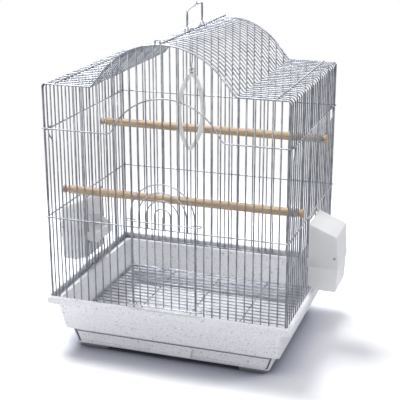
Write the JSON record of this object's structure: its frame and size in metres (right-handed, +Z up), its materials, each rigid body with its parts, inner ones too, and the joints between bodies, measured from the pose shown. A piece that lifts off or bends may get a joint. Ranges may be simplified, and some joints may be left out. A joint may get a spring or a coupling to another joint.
{
  "type": "bird cage",
  "caption": "Arch top welded wire bird cage with a lift door, hooded side feeders, a ring swing, dowel perches, a floor grate and a tub base with a pull-out drawer.",
  "frame": {"origin": "centre of the cage in plan, on the plane that the feet stand on", "axes": "+Z up, front with the lift door towards -Y, ridge of the roof along Y, feeders on the +X and -X sides"},
  "size_m": [0.4532, 0.3048, 0.5191],
  "materials": {
    "wire": "satin",
    "handle_wire": "satin",
    "tub": "satin",
    "drawer": "satin",
    "feeder": "semi gloss",
    "swing_ring": "satin",
    "birch": "bare sanded"
  },
  "bodies": {
    "base": {"base_tub": "tub"},
    "drawer": {"drawer": "drawer"},
    "grate": {"floor_grate": "wire"},
    "cage": {"front_panel": "wire", "back_panel": "wire", "left_panel": "wire", "right_panel": "wire", "roof": "wire", "upper_perch": "birch", "lower_perch": "birch", "left_feeder_cup": "feeder", "right_feeder_cup": "feeder", "left_hood_pin_front": "feeder", "left_hood_pin_back": "feeder", "right_hood_pin_front": "feeder", "right_hood_pin_back": "feeder"},
    "door": {"lift_door": "wire"},
    "left_hood": {"left_feeder_hood": "feeder"},
    "right_hood": {"right_feeder_hood": "feeder"},
    "handle": {"carry_handle": "handle_wire"},
    "swing": {"swing_hanger": "wire", "swing_ring": "swing_ring"}
  },
  "joints": [
    {"name": "drawer_slide", "type": "slide", "parent": "base", "child": "drawer", "axis": [0, -1, 0], "range_m": [0, 0.22]},
    {"name": "cage_lift", "type": "slide", "parent": "base", "child": "cage", "axis": [0, 0, 1], "range_m": [0, 0.15]},
    {"name": "grate_lift", "type": "slide", "parent": "base", "child": "grate", "axis": [0, 0, 1], "range_m": [0, 0.1]},
    {"name": "door_slide", "type": "slide", "parent": "cage", "child": "door", "axis": [0, 0, 1], "range_m": [0, 0.11]},
    {"name": "right_hood_flip", "type": "hinge", "parent": "cage", "child": "right_hood", "pos_m": [0.221, 0.018, 0.152], "axis": [0, 1, 0], "range_deg": [0, 85]},
    {"name": "left_hood_flip", "type": "hinge", "parent": "cage", "child": "left_hood", "pos_m": [-0.221, 0.018, 0.152], "axis": [0, -1, 0], "range_deg": [0, 85]},
    {"name": "handle_fold", "type": "hinge", "parent": "cage", "child": "handle", "pos_m": [0, -0.006, 0.47975], "axis": [0, 1, 0], "range_deg": [-85, 85]},
    {"name": "swing_pivot", "type": "hinge", "parent": "cage", "child": "swing", "pos_m": [0, -0.018, 0.47975], "axis": [0, 1, 0], "range_deg": [-30, 30]}
  ]
}
